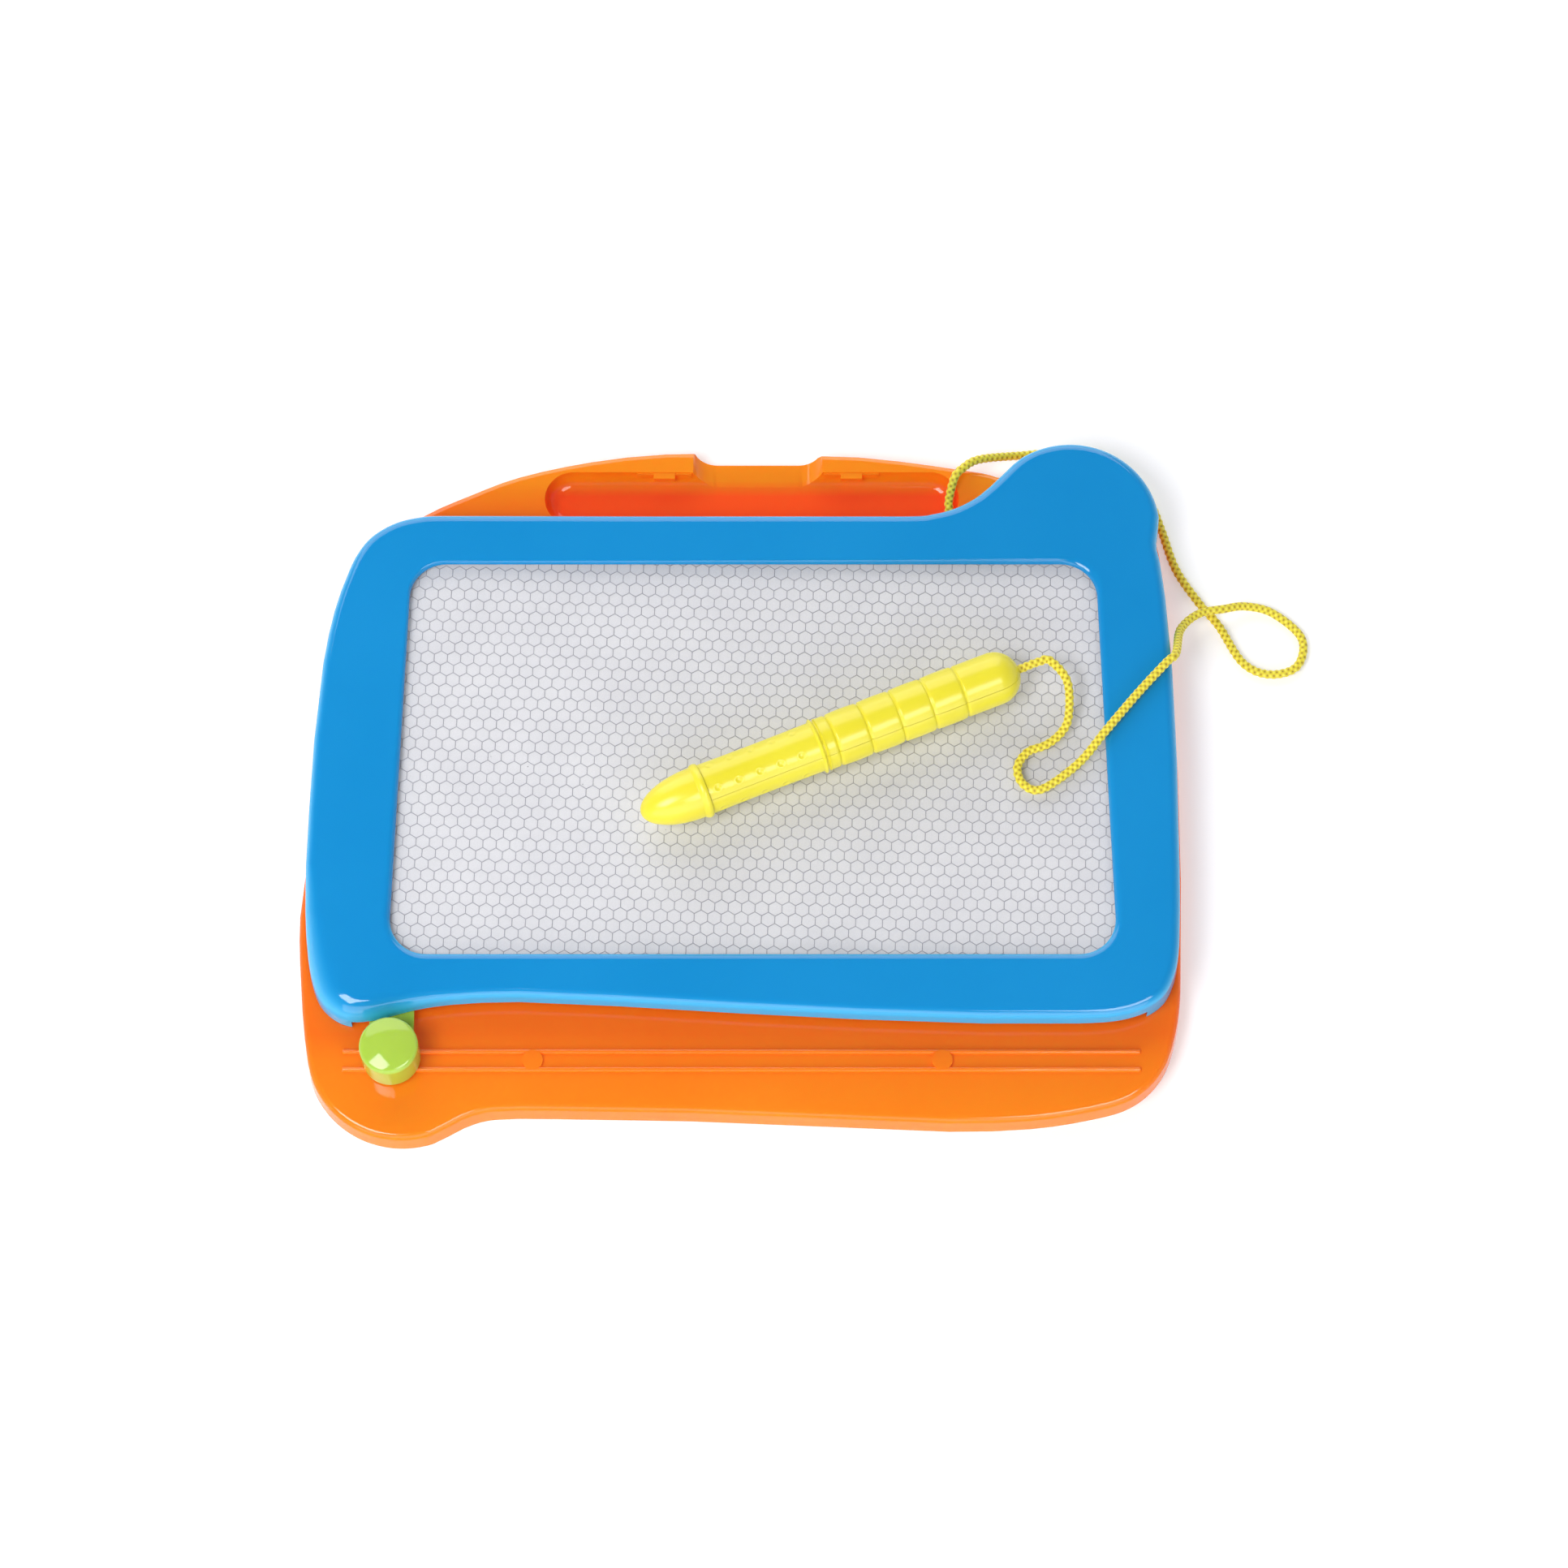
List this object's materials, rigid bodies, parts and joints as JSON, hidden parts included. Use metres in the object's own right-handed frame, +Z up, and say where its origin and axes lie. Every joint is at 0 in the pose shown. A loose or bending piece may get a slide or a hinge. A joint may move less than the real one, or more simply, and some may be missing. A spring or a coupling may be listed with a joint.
{
  "type": "magnetic drawing board",
  "caption": "Toy magnetic drawing board: moulded base and frame, honeycomb screen, sliding eraser knob and a magnetic pen on a braided cord.",
  "frame": {"origin": "on the floor, under the middle of the board without its cord", "axes": "+X along the board to the child's right, +Y away from the child to the pen tray, +Z up"},
  "size_m": [0.3068, 0.2254, 0.0345],
  "materials": {
    "orange_plastic": "satin to gloss moulded ABS",
    "blue_plastic": "gloss moulded ABS",
    "green_plastic": "gloss moulded ABS",
    "lime_plastic": "gloss moulded ABS",
    "clear_film": "clear film",
    "cell_sheet": "honeycomb cells with milky liquid",
    "white_film": "matt film",
    "foam_tape": "foam adhesive tape",
    "braided_cord": "braided polyester",
    "zinc_plated_steel": "zinc plated",
    "magnet": "bonded ferrite"
  },
  "bodies": {
    "board": {"base_shell": "orange_plastic", "frame_shell": "blue_plastic", "screen_front_film": "clear_film", "screen_cell_sheet": "cell_sheet", "screen_back_film": "white_film", "screen_tape": "foam_tape", "housing_screw_1": "zinc_plated_steel", "housing_screw_2": "zinc_plated_steel", "housing_screw_3": "zinc_plated_steel", "housing_screw_4": "zinc_plated_steel", "housing_screw_5": "zinc_plated_steel", "housing_screw_6": "zinc_plated_steel", "housing_screw_7": "zinc_plated_steel", "housing_screw_8": "zinc_plated_steel", "pen_cord": "braided_cord", "base_cord_knot": "braided_cord"},
    "eraser": {"eraser_slider": "green_plastic", "eraser_magnet": "magnet"},
    "pen": {"pen_nose": "lime_plastic", "pen_magnet": "magnet", "pen_barrel_upper": "lime_plastic", "pen_barrel_lower": "lime_plastic", "pen_cord_knot": "braided_cord"}
  },
  "joints": [
    {"name": "eraser_slide", "type": "slide", "parent": "board", "child": "eraser", "axis": [1, 0, 0], "range_m": [-0.005, 0.2176]},
    {"name": "pen_lift", "type": "slide", "parent": "board", "child": "pen", "axis": [0, 0, 1], "range_m": [0, 0.07]}
  ]
}
